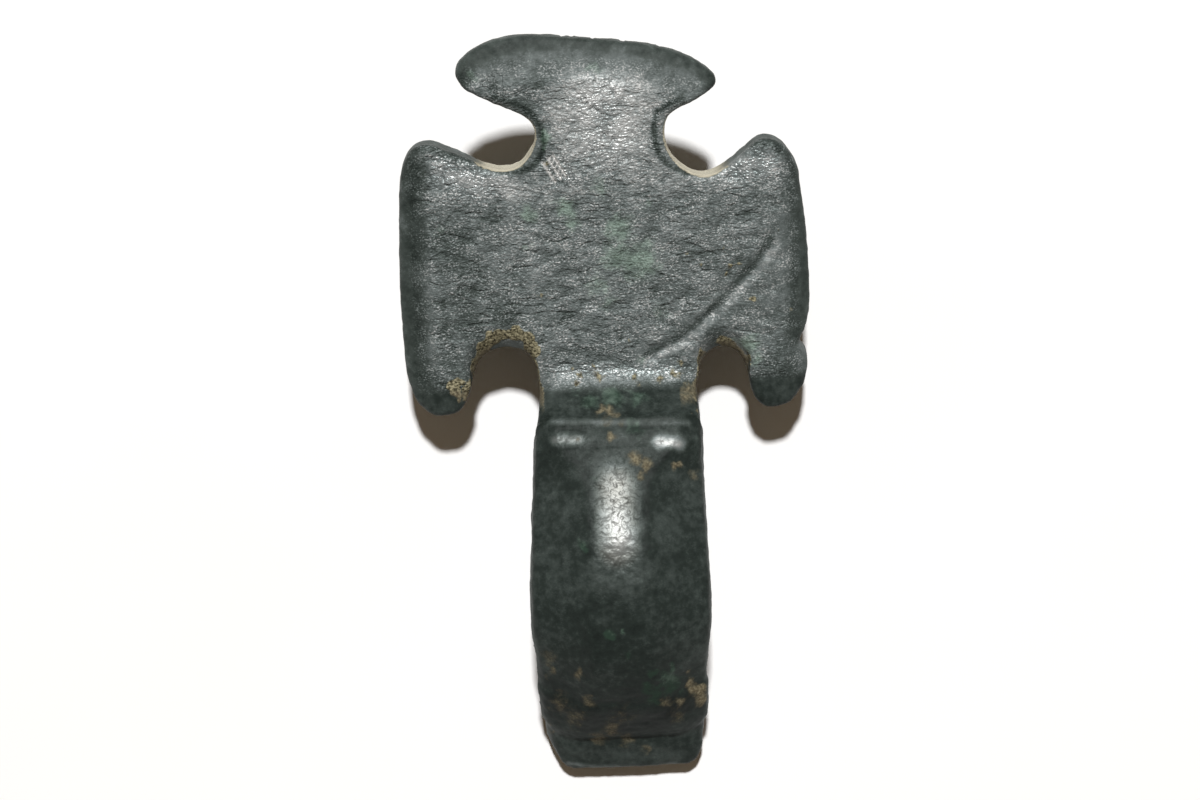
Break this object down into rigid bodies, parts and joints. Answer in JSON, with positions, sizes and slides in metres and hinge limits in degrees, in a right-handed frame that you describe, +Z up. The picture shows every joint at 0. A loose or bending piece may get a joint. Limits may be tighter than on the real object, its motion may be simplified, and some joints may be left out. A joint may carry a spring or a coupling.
{
  "type": "long brooch",
  "caption": "Cast brooch with a cross-shaped head-plate, arched faceted bow and broken foot, and a sprung pin that swings on an iron bar behind the plate.",
  "frame": {"origin": "middle of the brooch's bounding box in X and Y, at the level of the ground it lies on", "axes": "+X across the head-plate to the right as seen from the front, +Y from the broken foot towards the head, +Z up, away from the ground; the brooch lies tilted on its pin lug and its foot, front up"},
  "size_m": [0.028, 0.0504, 0.0113],
  "materials": {
    "patinated_casting": "worn green-black patina on cast copper alloy, fine pits, soil in the hollows",
    "rusted_iron": "rusted iron, rough",
    "patinated_wire": "drawn copper-alloy wire with a dull green-brown patina"
  },
  "bodies": {
    "casting": {"cast_body": "patinated_casting", "axis_bar": "rusted_iron", "spring": "patinated_wire"},
    "pin": {"pin": "patinated_wire"}
  },
  "joints": [
    {"name": "pin_swing", "type": "hinge", "parent": "casting", "child": "pin", "pos_m": [0.00014, 0.01233, 0.0024], "axis": [1, 0, 0], "range_deg": [-4, 45], "stiffness_Nm_per_rad": 0.005}
  ]
}
